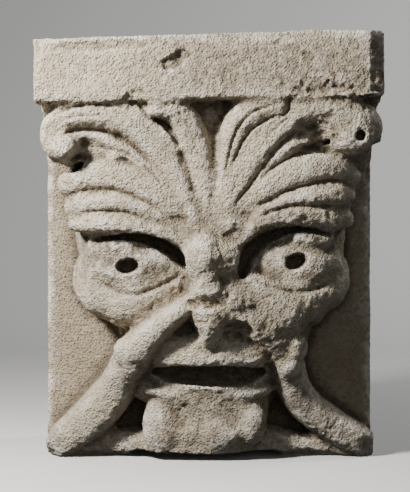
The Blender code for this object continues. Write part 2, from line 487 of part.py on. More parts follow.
def main():
    """Builds the modillion as one closed solid."""
    for obj in list(bpy.data.objects):
        bpy.data.objects.remove(obj)
    voxels = {"mode": "VOXEL", "voxel_size": CLAY_VOXEL}
    hewn = worked(mesh_of((block, head, muzzle, brows, leaves, arms), "hewn"), "hewn", [("REMESH", voxels)])
    cutter = helper(worked(mesh_of((hollows,), "cut"), "cut", [("REMESH", voxels)]), "cutter")
    quarried = bmesh.new()
    slab(quarried, (-HALF_WIDTH, FRONT_Y, 0), (HALF_WIDTH, BACK_Y, BLOCK_HEIGHT))
    envelope_mesh = bpy.data.meshes.new("envelope")
    quarried.to_mesh(envelope_mesh)
    quarried.free()
    envelope = helper(envelope_mesh, "envelope")
    carved = worked(hewn, "carved", [
        ("BOOLEAN", {"object": cutter, "operation": "DIFFERENCE"}),
        ("BOOLEAN", {"object": envelope, "operation": "INTERSECT"}),
        ("REMESH", voxels),
        ("SMOOTH", {"factor": 0.5, "iterations": SOFTENING}),
    ])
    for tool in (cutter, envelope):
        bpy.data.objects.remove(tool)
    spots, normals = spots_of(carved)
    cut_lines(spots)
    set_askew(spots)
    wear_top(spots)
    put_back(carved, spots)
    flatten(carved)
    faces = sum(len(p.vertices) - 2 for p in carved.polygons)
    fewer = {"ratio": MOST_TRIANGLES / faces, "use_collapse_triangulate": True}
    faceted = worked(carved, "faceted", [("DECIMATE", fewer)])
    flatten(faceted)
    faceted.materials.append(stone())
    collection = bpy.data.collections.new("modillion")
    bpy.context.scene.collection.children.link(collection)
    collection.objects.link(bpy.data.objects.new("modillion", faceted))


main()
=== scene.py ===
"""The carved limestone modillion, dressed around its packed block.

The masses of the mask are modelled on the block, cut into, weathered and pitted, and then given the stone's
colours. Places on the block are shares: across the half width from the centre line, up the height from the
bed, and out over the relief from the carved ground. A girth is a share of the half width.
"""

import math

import bmesh
import bpy
import numpy as np
from mathutils import Matrix, Vector, noise


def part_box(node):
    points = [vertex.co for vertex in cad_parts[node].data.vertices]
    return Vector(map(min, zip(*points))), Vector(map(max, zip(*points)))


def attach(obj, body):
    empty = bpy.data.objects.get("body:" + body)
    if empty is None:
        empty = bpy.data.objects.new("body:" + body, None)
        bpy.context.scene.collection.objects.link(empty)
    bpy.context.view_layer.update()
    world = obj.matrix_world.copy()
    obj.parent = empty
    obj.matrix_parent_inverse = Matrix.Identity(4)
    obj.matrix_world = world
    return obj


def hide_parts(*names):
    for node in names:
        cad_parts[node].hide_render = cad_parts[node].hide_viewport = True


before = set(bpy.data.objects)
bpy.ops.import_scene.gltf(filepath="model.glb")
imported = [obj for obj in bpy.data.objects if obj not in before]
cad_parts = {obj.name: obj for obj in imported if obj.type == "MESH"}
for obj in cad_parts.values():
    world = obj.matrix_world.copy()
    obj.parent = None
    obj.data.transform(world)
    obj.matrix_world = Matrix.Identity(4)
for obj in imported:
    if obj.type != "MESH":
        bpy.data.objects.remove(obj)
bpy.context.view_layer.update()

# The block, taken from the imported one, and the stone left behind its carved ground
LOW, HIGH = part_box("modillion")
HALF_WIDTH = (HIGH.x - LOW.x) / 2
BLOCK_WIDTH = 2 * HALF_WIDTH
BLOCK_HEIGHT = HIGH.z
FRONT_Y = LOW.y
BACK_Y = HIGH.y
RELIEF = 0.095
GROUND_Y = FRONT_Y + RELIEF
TABLET_HEIGHT = 0.047
TABLET_TILT = 0.006
TABLET_BED = BLOCK_HEIGHT - TABLET_HEIGHT
CORNER_LOSS = 0.0115
CORNER_LOSS_DEPTH = 0.0085
COVE_RADIUS = 0.062

# What the drill and the chisel took away
PUPIL_WIDTH = 0.0165
PUPIL_HEIGHT = 0.0110
PUPIL_DEPTH = 0.020
VOLUTE_DRILL_RADIUS = 0.0038
VOLUTE_DRILL_DEPTH = 0.012
MOUTH_OPENING = 0.0150
TOP_WEAR = 0.0065
TOP_WEAR_REACH = 0.055

# How finely the stone is worked, from the rough masses to the finished skin
ROUGH_VOXEL = 0.0020
SKIN_VOXEL = 0.0012
MOST_TRIANGLES = 186000
KEPT_DETAIL = 0.4
KEPT_FACTOR = 3e-5

# How far in front of the wall face the arrises stay crisp, and where and how fast the grain fades
# towards it
TRUE_TAIL = 0.03
FADE_START = 0.07
FADE_LENGTH = 0.05

MM = 0.001


def at(across, up, out):
    """The place at these shares of the half width, the height and the relief."""
    return Vector((across * HALF_WIDTH, GROUND_Y - out * RELIEF, up * BLOCK_HEIGHT))


def along(stations, steps=6):
    """Rows of numbers along a smooth curve through the stations."""
    rows = np.array(stations, float)
    padded = np.vstack([2 * rows[0] - rows[1], rows, 2 * rows[-1] - rows[-2]])
    points = []
    for before, start, end, after in zip(padded, padded[1:], padded[2:], padded[3:]):
        for t in np.arange(steps) / steps:
            bend = 2 * before - 5 * start + 4 * end - after
            swing = 3 * start - before - 3 * end + after
            points.append(start + 0.5 * t * (end - before + t * (bend + t * swing)))
    return np.array(points + [rows[-1]])


def ball(clay, across, up, crest, radii, turn=0.0):
    """A rounded mass that comes out to its crest, with its radii across, deep and up."""
    deep = radii[1] * HALF_WIDTH / RELIEF
    place = Matrix.Translation(at(across, up, crest - deep)) @ Matrix.Rotation(math.radians(turn), 4, "Y")
    size = Matrix.Diagonal((*(HALF_WIDTH * r for r in radii), 1.0))
    bmesh.ops.create_uvsphere(clay, u_segments=32, v_segments=20, radius=1.0, matrix=place @ size)


def ring_shapes(stations, root):
    """Matrices that place a unit circle at each section of a roll, its ends rounded off."""
    rows = along(stations)
    centres = [at(across, up, root) for across, up, crest, girth in rows]
    girths = [max(row[3], 0.012) * HALF_WIDTH for row in rows]
    depths = [max((row[2] - root) * RELIEF, 0.0015) for row in rows]
    shapes = []
    for i, (centre, girth, depth) in enumerate(zip(centres, girths, depths)):
        run = (centres[min(i + 1, len(rows) - 1)] - centres[max(i - 1, 0)]).normalized()
        side = run.cross(Vector((0, 1, 0))).normalized()
        turn = Matrix((side, side.cross(run), run)).transposed().to_4x4()
        shapes.append((centre, run, turn, girth, depth))
    dome = [math.radians(a) for a in (80, 55, 30)]
    sections = [(shapes[0], -a) for a in dome] + [(shape, 0.0) for shape in shapes]
    sections += [(shapes[-1], a) for a in reversed(dome)]
    return [
        Matrix.Translation(centre + run * girth * math.sin(a)) @ turn
        @ Matrix.Diagonal((girth * math.cos(a), depth * math.cos(a), girth, 1.0))
        for (centre, run, turn, girth, depth), a in sections
    ]


def roll(clay, stations, root, squareness=0.62, sides=24):
    """A tapering, round-ended roll through (across, up, crest, girth) stations, half of it above its root."""
    shapes = ring_shapes(stations, root)
    made = bmesh.ops.create_circle(clay, cap_ends=True, segments=sides, radius=1.0)
    for vert in made["verts"]:
        vert.co.x = math.copysign(abs(vert.co.x) ** squareness, vert.co.x)
        vert.co.y = math.copysign(abs(vert.co.y) ** squareness, vert.co.y)
    bmesh.ops.transform(clay, matrix=shapes[0], verts=made["verts"])
    end = made["verts"][0].link_faces[0]
    for here, ahead in zip(shapes, shapes[1:]):
        grown = bmesh.ops.extrude_face_region(clay, geom=[end])["geom"]
        end = next(g for g in grown if isinstance(g, bmesh.types.BMFace))
        bmesh.ops.transform(clay, matrix=ahead @ here.inverted(), verts=list(end.verts))


def slab(clay, low, high):
    """A squared block between two corners."""
    low, high = Vector(low), Vector(high)
    size = Matrix.Diagonal((*(high - low), 1.0))
    bmesh.ops.create_cube(clay, size=1.0, matrix=Matrix.Translation((low + high) / 2) @ size)


def cove(clay, steps=16):
    """The hollow quarter round that carries the ground forward to the tablet's underside."""
    foot = TABLET_BED - COVE_RADIUS
    behind = GROUND_Y + COVE_RADIUS / 2
    profile = [
        (GROUND_Y - COVE_RADIUS * (1 - math.cos(a)), foot + COVE_RADIUS * math.sin(a))
        for a in np.linspace(0, math.pi / 2, steps)
    ]
    head_height = TABLET_BED + TABLET_HEIGHT / 2
    profile += [(GROUND_Y - COVE_RADIUS, head_height), (behind, head_height), (behind, foot)]
    face = clay.faces.new([clay.verts.new((-HALF_WIDTH, y, z)) for y, z in profile])
    grown = bmesh.ops.extrude_face_region(clay, geom=[face])["geom"]
    moved = [g for g in grown if isinstance(g, bmesh.types.BMVert)]
    bmesh.ops.translate(clay, vec=(BLOCK_WIDTH, 0, 0), verts=moved)


def block(clay):
    """The squared stone: its tail towards the wall, the cove and the tablet."""
    slab(clay, (-HALF_WIDTH, GROUND_Y, 0), (HALF_WIDTH, BACK_Y, BLOCK_HEIGHT))
    cove(clay)
    slab(clay, (-HALF_WIDTH, FRONT_Y, TABLET_BED), (HALF_WIDTH, BACK_Y, BLOCK_HEIGHT))


# The palmette's leaves as (across, up, crest) along their top and foot edges, from the nose outwards
LEFT_LEAF_TOP = [(-0.03, 0.543, 0.82), (-0.099, 0.652, 0.84), (-0.173, 0.738, 0.87),
                 (-0.275, 0.805, 0.92), (-0.420, 0.850, 0.96), (-0.713, 0.860, 0.98),
                 (-0.880, 0.838, 0.96), (-0.955, 0.790, 0.90)]
LEFT_LEAF_FOOT = [(-0.06, 0.530, 0.82), (-0.240, 0.650, 0.84), (-0.355, 0.710, 0.87),
                  (-0.450, 0.744, 0.90), (-0.560, 0.766, 0.92), (-0.690, 0.776, 0.93),
                  (-0.800, 0.770, 0.92), (-0.835, 0.745, 0.90)]
LEFT_SPRIG_TOP = [(0.01, 0.559, 0.80), (0.016, 0.678, 0.82), (-0.003, 0.741, 0.85),
                  (-0.024, 0.784, 0.89), (-0.087, 0.830, 0.95), (-0.180, 0.852, 0.98),
                  (-0.330, 0.850, 0.98)]
LEFT_SPRIG_FOOT = [(-0.04, 0.559, 0.80), (-0.080, 0.648, 0.82), (-0.115, 0.689, 0.84),
                   (-0.155, 0.728, 0.87), (-0.185, 0.765, 0.91), (-0.235, 0.790, 0.95),
                   (-0.335, 0.804, 0.97)]
RIGHT_SPRIG_TOP = [(0.02, 0.559, 0.80), (0.050, 0.686, 0.84), (0.058, 0.739, 0.88),
                   (0.066, 0.785, 0.91), (0.104, 0.824, 0.95), (0.176, 0.847, 0.98),
                   (0.282, 0.858, 0.98), (0.425, 0.856, 0.98)]
RIGHT_SPRIG_FOOT = [(0.06, 0.559, 0.80), (0.118, 0.670, 0.84), (0.155, 0.717, 0.87),
                    (0.195, 0.750, 0.89), (0.250, 0.778, 0.92), (0.316, 0.795, 0.94),
                    (0.380, 0.804, 0.95), (0.440, 0.812, 0.95)]
RIGHT_LEAF_TOP = [(0.06, 0.543, 0.82), (0.130, 0.674, 0.84), (0.170, 0.722, 0.87),
                  (0.230, 0.762, 0.90), (0.330, 0.798, 0.92), (0.430, 0.830, 0.94),
                  (0.540, 0.862, 0.96), (0.734, 0.866, 0.96), (0.908, 0.850, 0.94)]
RIGHT_LEAF_FOOT = [(0.08, 0.532, 0.81), (0.155, 0.607, 0.83), (0.236, 0.651, 0.84),
                   (0.316, 0.695, 0.86), (0.400, 0.739, 0.89), (0.462, 0.761, 0.91),
                   (0.530, 0.776, 0.92), (0.612, 0.792, 0.93), (0.722, 0.801, 0.93)]
LEAVES = [(LEFT_LEAF_TOP, LEFT_LEAF_FOOT), (LEFT_SPRIG_TOP, LEFT_SPRIG_FOOT),
          (RIGHT_SPRIG_TOP, RIGHT_SPRIG_FOOT), (RIGHT_LEAF_TOP, RIGHT_LEAF_FOOT)]


def leaf(clay, top, foot):
    """A full, rounded leaf between its top edge and its foot edge."""
    upper, lower = along(top), along(foot)
    spread = np.linalg.norm((upper - lower) * (1, BLOCK_HEIGHT / HALF_WIDTH, 0), axis=1)
    stations = np.column_stack([(upper + lower) / 2, np.maximum(spread / 2, 0.03)])
    roll(clay, stations[::3], root=0.50, squareness=0.5)


def leaves(clay):
    """The palmette that springs from the nose and curls over both brows to the volutes."""
    for top, foot in LEAVES:
        leaf(clay, top, foot)
    roll(clay, [(-0.134, 0.566, 0.80, 0.030), (-0.289, 0.662, 0.84, 0.040),
                (-0.393, 0.702, 0.86, 0.044), (-0.497, 0.734, 0.88, 0.046),
                (-0.601, 0.752, 0.88, 0.044), (-0.670, 0.757, 0.86, 0.036)], root=0.50)
    roll(clay, [(0.130, 0.585, 0.80, 0.030), (0.200, 0.634, 0.81, 0.034), (0.277, 0.667, 0.82, 0.040),
                (0.358, 0.704, 0.84, 0.044), (0.439, 0.732, 0.86, 0.046), (0.520, 0.752, 0.86, 0.048),
                (0.601, 0.764, 0.84, 0.044), (0.680, 0.766, 0.80, 0.036)], root=0.50)
    roll(clay, [(0.00, 0.545, 0.80, 0.06), (0.010, 0.640, 0.79, 0.08), (0.01, 0.760, 0.78, 0.10)],
         root=0.40)
    roll(clay, [(-0.250, 0.785, 0.86, 0.045), (-0.180, 0.755, 0.84, 0.045),
                (-0.128, 0.709, 0.82, 0.045), (-0.082, 0.658, 0.81, 0.045),
                (-0.048, 0.598, 0.80, 0.040)], root=0.40)
    roll(clay, [(-0.262, 0.772, 0.90, 0.050), (-0.215, 0.758, 0.89, 0.050),
                (-0.160, 0.732, 0.86, 0.045)], root=0.50)
    ball(clay, -0.535, 0.720, 0.87, (0.090, 0.20, 0.070))
    roll(clay, [(0.103, 0.672, 0.83, 0.050), (0.155, 0.718, 0.86, 0.055), (0.195, 0.751, 0.885, 0.055),
                (0.250, 0.778, 0.90, 0.060), (0.316, 0.794, 0.92, 0.065), (0.420, 0.812, 0.94, 0.075)],
         root=0.40)
    roll(clay, [(0.161, 0.609, 0.80, 0.050), (0.242, 0.655, 0.81, 0.050), (0.317, 0.695, 0.82, 0.050),
                (0.392, 0.734, 0.84, 0.050), (0.462, 0.758, 0.85, 0.050), (0.540, 0.772, 0.86, 0.055)],
         root=0.40)
    roll(clay, [(-0.760, 0.744, 0.79, 0.080), (-0.600, 0.734, 0.82, 0.070)], root=0.30)
    roll(clay, [(-0.800, 0.766, 0.88, 0.050), (-0.680, 0.768, 0.89, 0.050),
                (-0.560, 0.758, 0.88, 0.050)], root=0.50)
    ball(clay, 0.600, 0.818, 0.950, (0.10, 0.20, 0.080))
    roll(clay, [(0.560, 0.780, 0.84, 0.070), (0.660, 0.772, 0.85, 0.080), (0.750, 0.768, 0.87, 0.085)],
         root=0.40)
    roll(clay, [(-0.700, 0.832, 0.94, 0.050), (-0.850, 0.820, 0.94, 0.054),
                (-0.920, 0.790, 0.92, 0.052), (-0.930, 0.752, 0.90, 0.048),
                (-0.900, 0.722, 0.88, 0.040)], root=0.60)
    roll(clay, [(-0.925, 0.742, 0.90, 0.045), (-0.885, 0.741, 0.94, 0.085), (-0.845, 0.740, 0.955, 0.102),
                (-0.805, 0.740, 0.955, 0.095), (-0.778, 0.740, 0.94, 0.055)], root=0.56, squareness=0.6)
    ball(clay, -0.290, 0.823, 0.985, (0.085, 0.16, 0.058))
    roll(clay, [(0.480, 0.832, 0.95, 0.075), (0.600, 0.828, 0.955, 0.080), (0.675, 0.815, 0.96, 0.090),
                (0.765, 0.788, 0.955, 0.145), (0.860, 0.779, 0.945, 0.160),
                (0.935, 0.781, 0.90, 0.120), (0.960, 0.780, 0.84, 0.080)], root=0.60, squareness=0.6)


def head(clay):
    """The mask's core, its swollen cheeks and eyeballs, and the nose with its bulb."""
    roll(clay, [(0.03, 0.320, 0.48, 0.60), (0.03, 0.370, 0.53, 0.72), (0.02, 0.440, 0.56, 0.79),
                (0.01, 0.550, 0.62, 0.83), (0.00, 0.670, 0.66, 0.85)],
         root=0.0, squareness=0.62, sides=40)
    roll(clay, [(0.01, 0.540, 0.77, 0.20), (0.00, 0.620, 0.77, 0.40), (0.00, 0.720, 0.77, 0.66),
                (0.00, 0.790, 0.72, 0.80)], root=0.2, squareness=0.7, sides=40)
    roll(clay, [(-0.570, 0.432, 0.63, 0.260), (-0.45, 0.428, 0.69, 0.295), (-0.260, 0.450, 0.66, 0.250)],
         0.20)
    roll(clay, [(0.615, 0.436, 0.63, 0.240), (0.51, 0.424, 0.69, 0.290), (0.320, 0.440, 0.66, 0.250)],
         0.20)
    roll(clay, [(0.700, 0.526, 0.66, 0.060), (0.600, 0.530, 0.71, 0.075), (0.500, 0.534, 0.72, 0.070)],
         root=0.30)
    ball(clay, -0.43, 0.466, 0.72, (0.310, 0.22, 0.165), turn=-6)
    roll(clay, [(-0.670, 0.505, 0.62, 0.080), (-0.580, 0.505, 0.69, 0.095),
                (-0.460, 0.510, 0.71, 0.090)], root=0.30)
    ball(clay, 0.490, 0.474, 0.72, (0.310, 0.22, 0.165), turn=8)
    ball(clay, -0.034, 0.484, 0.985, (0.125, 0.20, 0.155))
    ball(clay, 0.070, 0.476, 0.900, (0.145, 0.20, 0.170))
    ball(clay, 0.020, 0.480, 0.940, (0.120, 0.20, 0.150))
    roll(clay, [(0.060, 0.550, 0.80, 0.090), (0.090, 0.500, 0.80, 0.100), (0.105, 0.440, 0.82, 0.110),
                (0.120, 0.390, 0.86, 0.120), (0.130, 0.345, 0.84, 0.110)], root=0.40)
    roll(clay, [(-0.01, 0.560, 0.80, 0.09), (-0.02, 0.500, 0.88, 0.085), (-0.01, 0.440, 0.93, 0.10),
                (0.00, 0.395, 0.91, 0.13), (0.01, 0.345, 0.88, 0.13), (0.01, 0.305, 0.83, 0.08)], root=0.40)
    ball(clay, -0.005, 0.300, 0.80, (0.080, 0.20, 0.110))
    ball(clay, 0.215, 0.388, 0.830, (0.095, 0.20, 0.110))
    roll(clay, [(0.160, 0.430, 0.80, 0.110), (0.290, 0.390, 0.80, 0.150), (0.450, 0.345, 0.76, 0.160)],
         root=0.40)


CHIN_LUMPS = [(-0.270, 0.085, 0.530, 0.130, 0.200), (0.059, 0.070, 0.560, 0.165, 0.140),
              (0.230, 0.090, 0.530, 0.120, 0.150)]


def muzzle(clay):
    """The mouth's swelling, its lips, the chin and the neck that spreads to the bed."""
    ball(clay, 0.00, 0.235, 0.64, (0.44, 0.44, 0.34))
    roll(clay, [(-0.26, 0.255, 0.67, 0.090), (0.00, 0.262, 0.715, 0.120), (0.27, 0.255, 0.67, 0.090)],
         0.45)
    roll(clay, [(-0.37, 0.168, 0.51, 0.040), (-0.20, 0.158, 0.545, 0.062), (0.14, 0.158, 0.545, 0.062),
                (0.34, 0.168, 0.51, 0.040)], root=0.30, squareness=0.9)
    roll(clay, [(-0.014, 0.190, 0.545, 0.385), (-0.014, 0.160, 0.540, 0.390),
                (-0.012, 0.112, 0.53, 0.375), (-0.040, 0.065, 0.51, 0.350), (-0.070, 0.0, 0.48, 0.360),
                (-0.09, -0.06, 0.46, 0.380)], root=0.0, squareness=0.62, sides=40)
    for across, up, crest, girth, tall in CHIN_LUMPS:
        ball(clay, across, up, crest, (girth, 0.11, tall))


def brows(clay):
    """Three rolls stacked over each eye, from the temples in to the nose."""
    roll(clay, [(-0.820, 0.656, 0.74, 0.078), (-0.765, 0.662, 0.79, 0.095),
                (-0.678, 0.673, 0.82, 0.112), (-0.579, 0.674, 0.84, 0.120),
                (-0.469, 0.664, 0.84, 0.115), (-0.365, 0.643, 0.84, 0.101),
                (-0.279, 0.617, 0.83, 0.085), (-0.192, 0.589, 0.81, 0.064),
                (-0.105, 0.566, 0.79, 0.048)], root=0.50)
    roll(clay, [(-0.800, 0.600, 0.68, 0.057), (-0.753, 0.608, 0.76, 0.069),
                (-0.678, 0.612, 0.80, 0.072), (-0.568, 0.611, 0.83, 0.069),
                (-0.464, 0.605, 0.83, 0.061), (-0.365, 0.593, 0.83, 0.051),
                (-0.279, 0.577, 0.82, 0.041), (-0.172, 0.549, 0.80, 0.039)], root=0.50)
    roll(clay, [(-0.785, 0.564, 0.66, 0.052), (-0.740, 0.564, 0.74, 0.063),
                (-0.678, 0.564, 0.79, 0.069), (-0.568, 0.563, 0.82, 0.072),
                (-0.464, 0.561, 0.83, 0.071), (-0.365, 0.554, 0.83, 0.069),
                (-0.279, 0.545, 0.83, 0.063), (-0.192, 0.532, 0.81, 0.062),
                (-0.115, 0.514, 0.79, 0.057)], root=0.50)
    roll(clay, [(0.835, 0.672, 0.66, 0.064), (0.768, 0.686, 0.75, 0.094), (0.635, 0.690, 0.82, 0.114),
                (0.502, 0.681, 0.84, 0.124), (0.415, 0.666, 0.84, 0.124), (0.329, 0.645, 0.84, 0.113),
                (0.271, 0.626, 0.83, 0.085), (0.184, 0.600, 0.81, 0.067), (0.097, 0.575, 0.79, 0.053)],
         root=0.50)
    roll(clay, [(0.815, 0.628, 0.68, 0.052), (0.785, 0.629, 0.74, 0.069), (0.704, 0.629, 0.79, 0.077),
                (0.572, 0.625, 0.83, 0.064), (0.427, 0.613, 0.83, 0.053), (0.329, 0.597, 0.83, 0.041),
                (0.242, 0.580, 0.81, 0.037)], root=0.50)
    roll(clay, [(0.800, 0.572, 0.66, 0.060), (0.704, 0.576, 0.74, 0.074), (0.572, 0.582, 0.80, 0.071),
                (0.427, 0.578, 0.83, 0.063), (0.329, 0.570, 0.83, 0.057), (0.242, 0.550, 0.82, 0.062),
                (0.172, 0.528, 0.81, 0.062), (0.115, 0.505, 0.79, 0.057)], root=0.50)
    roll(clay, [(-0.740, 0.612, 0.70, 0.120), (-0.600, 0.618, 0.77, 0.170),
                (-0.430, 0.610, 0.78, 0.170), (-0.280, 0.582, 0.78, 0.130),
                (-0.150, 0.548, 0.77, 0.090)], root=0.40)
    roll(clay, [(0.740, 0.626, 0.70, 0.120), (0.600, 0.632, 0.77, 0.170), (0.430, 0.624, 0.78, 0.170),
                (0.290, 0.596, 0.78, 0.130), (0.160, 0.560, 0.77, 0.090)], root=0.40)
    ball(clay, -0.130, 0.549, 0.81, (0.075, 0.20, 0.075))
    ball(clay, 0.185, 0.564, 0.81, (0.080, 0.20, 0.075))
    ball(clay, 0.120, 0.560, 0.84, (0.095, 0.20, 0.095))


def arms(clay):
    """Both arms, bent at the block's lower corners, with the hands drawn up to the nose."""
    roll(clay, [(-0.900, 0.030, 0.30, 0.100), (-0.850, 0.050, 0.34, 0.112),
                (-0.708, 0.097, 0.40, 0.128), (-0.584, 0.153, 0.48, 0.127),
                (-0.527, 0.198, 0.56, 0.106), (-0.460, 0.240, 0.68, 0.122),
                (-0.375, 0.288, 0.77, 0.115), (-0.279, 0.325, 0.82, 0.095),
                (-0.174, 0.358, 0.85, 0.080), (-0.070, 0.383, 0.85, 0.066)], root=0.10, squareness=0.60)
    roll(clay, [(0.940, 0.030, 0.28, 0.092), (0.850, 0.050, 0.33, 0.100), (0.712, 0.085, 0.38, 0.106),
                (0.579, 0.128, 0.44, 0.110), (0.508, 0.174, 0.51, 0.106), (0.464, 0.237, 0.63, 0.104),
                (0.410, 0.279, 0.71, 0.112), (0.312, 0.315, 0.79, 0.112), (0.184, 0.348, 0.83, 0.096),
                (0.080, 0.376, 0.83, 0.070)],
         root=0.10, squareness=0.60)
    roll(clay, [(-0.86, 0.020, 0.20, 0.070), (-0.62, 0.030, 0.24, 0.080), (-0.36, 0.040, 0.32, 0.090)],
         0.0)
    roll(clay, [(0.86, 0.020, 0.20, 0.070), (0.62, 0.020, 0.24, 0.080), (0.32, 0.040, 0.32, 0.090)], 0.0)
    ball(clay, 0.470, 0.232, 0.66, (0.085, 0.110, 0.090))
    ball(clay, 0.500, 0.275, 0.68, (0.085, 0.110, 0.110))
    ball(clay, -0.465, 0.262, 0.71, (0.100, 0.120, 0.100))
    ball(clay, -0.385, 0.175, 0.44, (0.080, 0.120, 0.100))


LEFT_SOCKET = [(-0.740, 0.515, 0.76, 0.012), (-0.610, 0.528, 0.80, 0.014),
               (-0.440, 0.531, 0.84, 0.024), (-0.290, 0.515, 0.90, 0.036),
               (-0.190, 0.488, 0.90, 0.038), (-0.135, 0.462, 0.80, 0.024)]
RIGHT_SOCKET = [(0.780, 0.528, 0.74, 0.012), (0.660, 0.540, 0.76, 0.014), (0.520, 0.549, 0.82, 0.018),
                (0.370, 0.536, 0.90, 0.030), (0.250, 0.505, 0.90, 0.044), (0.200, 0.466, 0.88, 0.038),
                (0.185, 0.432, 0.78, 0.022)]
PUPILS = ((-0.476, 0.463, -8), (0.505, 0.474, -20))
SURFACE_AT_PUPIL = 0.72


def hollows(clay):
    """What is cut away: sockets, drilled pupils and volute, nostrils, mouth and the tablet's lost corner."""
    for line in (LEFT_SOCKET, RIGHT_SOCKET):
        roll(clay, line, root=0.66, squareness=0.7)
    for across, up, turn in PUPILS:
        radii = (PUPIL_WIDTH / BLOCK_WIDTH, PUPIL_DEPTH / HALF_WIDTH, PUPIL_HEIGHT / BLOCK_WIDTH)
        ball(clay, across, up, SURFACE_AT_PUPIL + PUPIL_DEPTH / RELIEF, radii, turn=turn)
    drill = VOLUTE_DRILL_RADIUS / HALF_WIDTH
    sunk = VOLUTE_DRILL_DEPTH / HALF_WIDTH
    ball(clay, 0.864, 0.762, 0.92 + VOLUTE_DRILL_DEPTH / RELIEF, (drill, sunk, drill))
    ball(clay, -0.134, 0.301, 1.02, (0.088, 0.1425, 0.085))
    ball(clay, 0.165, 0.305, 1.02, (0.104, 0.1425, 0.080))
    lip = MOUTH_OPENING / BLOCK_WIDTH
    roll(clay, [(-0.33, 0.212, 0.90, lip * 0.35), (-0.20, 0.208, 0.90, lip * 0.85),
                (0.0, 0.204, 0.90, lip), (0.20, 0.204, 0.90, lip * 0.95),
                (0.315, 0.210, 0.90, lip * 0.45)], root=0.57, squareness=0.7)
    roll(clay, [(-0.835, 0.688, 0.84, 0.012), (-0.785, 0.690, 0.84, 0.022),
                (-0.735, 0.702, 0.84, 0.016)], root=0.60)
    roll(clay, [(-0.318, 0.802, 0.96, 0.014), (-0.262, 0.790, 0.96, 0.018),
                (-0.215, 0.770, 0.93, 0.014), (-0.172, 0.738, 0.90, 0.010)], root=0.86)
    roll(clay, [(0.610, 0.746, 0.90, 0.010), (0.660, 0.748, 0.90, 0.014),
                (0.705, 0.756, 0.90, 0.010)], root=0.79)
    roll(clay, [(-0.930, 0.846, 1.00, 0.010), (-0.700, 0.856, 1.00, 0.012),
                (-0.430, 0.856, 1.00, 0.012)], root=0.84)
    roll(clay, [(-0.440, 0.0, 1.00, 0.045), (0.0, 0.0, 1.00, 0.040), (0.400, 0.0, 1.00, 0.045)],
         0.28, 0.5)
    corner = (HALF_WIDTH, FRONT_Y, TABLET_BED)
    place = Matrix.Translation(corner)
    place @= Matrix.Diagonal((2 * CORNER_LOSS, 2 * CORNER_LOSS_DEPTH, 4 * TABLET_HEIGHT, 1.0))
    bmesh.ops.create_cube(clay, size=math.sqrt(0.5), matrix=place @ Matrix.Rotation(math.pi / 4, 4, "Z"))


def mesh_of(shapes, name):
    """A mesh from functions that add their forms to a bmesh, faces outwards."""
    clay = bmesh.new()
    for add in shapes:
        add(clay)
    bmesh.ops.recalc_face_normals(clay, faces=clay.faces)
    mesh = bpy.data.meshes.new(name)
    clay.to_mesh(mesh)
    clay.free()
    return mesh


def worked(mesh, name, modifiers, weights=None):
    """The mesh after these modifiers, each a type with its settings. Weights make a group named weights."""
    body = bpy.data.objects.new(name, mesh)
    bpy.context.scene.collection.objects.link(body)
    if weights is not None:
        group = body.vertex_groups.new(name="weights")
        levels = np.round(weights * 10) / 10
        for level in np.unique(levels):
            group.add(np.flatnonzero(levels == level).tolist(), float(level), "REPLACE")
    for kind, settings in modifiers:
        modifier = body.modifiers.new(kind.title(), kind)
        for key, value in settings.items():
            setattr(modifier, key, value)
    done = bpy.data.meshes.new_from_object(body.evaluated_get(bpy.context.evaluated_depsgraph_get()))
    bpy.data.objects.remove(body)
    return done


def helper(mesh, name):
    """An object that a Boolean works with, left out of the picture."""
    body = bpy.data.objects.new(name, mesh)
    bpy.context.scene.collection.objects.link(body)
    body.hide_render = True
    return body


def spots_of(mesh):
    """The mesh's points as rows of x, y, z, and its normals."""
    spots = np.empty(len(mesh.vertices) * 3, np.float32)
    normals = np.empty_like(spots)
    mesh.vertices.foreach_get("co", spots)
    mesh.vertices.foreach_get("normal", normals)
    return spots.reshape(-1, 3).astype(float), normals.reshape(-1, 3).astype(float)


def put_back(mesh, spots):
    """Gives the mesh its moved points."""
    mesh.vertices.foreach_set("co", spots.astype(np.float32).ravel())
    mesh.update()


def hewn_block():
    """The masses as one skin, with the hollows cut and everything sawn to the block's own size."""
    voxels = {"mode": "VOXEL", "voxel_size": ROUGH_VOXEL}
    hewn = worked(mesh_of((block, head, muzzle, brows, leaves, arms), "hewn"), "hewn", [("REMESH", voxels)])
    cutter = helper(worked(mesh_of((hollows,), "cut"), "cut", [("REMESH", voxels)]), "cutter")
    sawn = helper(mesh_of((lambda clay: slab(clay, LOW, HIGH),), "sawn"), "sawn")
    carved = worked(hewn, "carved", [
        ("BOOLEAN", {"object": cutter, "operation": "DIFFERENCE"}),
        ("BOOLEAN", {"object": sawn, "operation": "INTERSECT"}),
        ("REMESH", {"mode": "VOXEL", "voxel_size": SKIN_VOXEL}),
        ("SMOOTH", {"factor": 0.5, "iterations": 5}),
    ])
    for tool in (cutter, sawn):
        bpy.data.objects.remove(tool)
    return carved


# Each flute's leaf, its share of the way from top to foot edge, where along the leaf it starts and ends,
# and its half width and depth in millimetres
FLUTES = [(0, 0.28, 0.56, 0.93, 1.9, 1.6), (0, 0.60, 0.62, 0.92, 1.7, 1.5),
          (0, 1.00, 0.24, 0.94, 2.2, 3.6), (0, 0.00, 0.10, 0.46, 3.2, 1.4),
          (1, 0.50, 0.25, 0.95, 1.6, 0.8), (2, 0.24, 0.16, 0.60, 1.3, 0.8),
          (2, 0.62, 0.10, 0.96, 1.5, 2.4), (2, 1.00, 0.20, 0.90, 1.7, 2.6),
          (3, 0.45, 0.42, 0.74, 1.4, 0.9), (3, 0.50, 0.10, 0.30, 1.4, 1.0),
          (3, 1.00, 0.08, 0.78, 2.4, 2.0)]

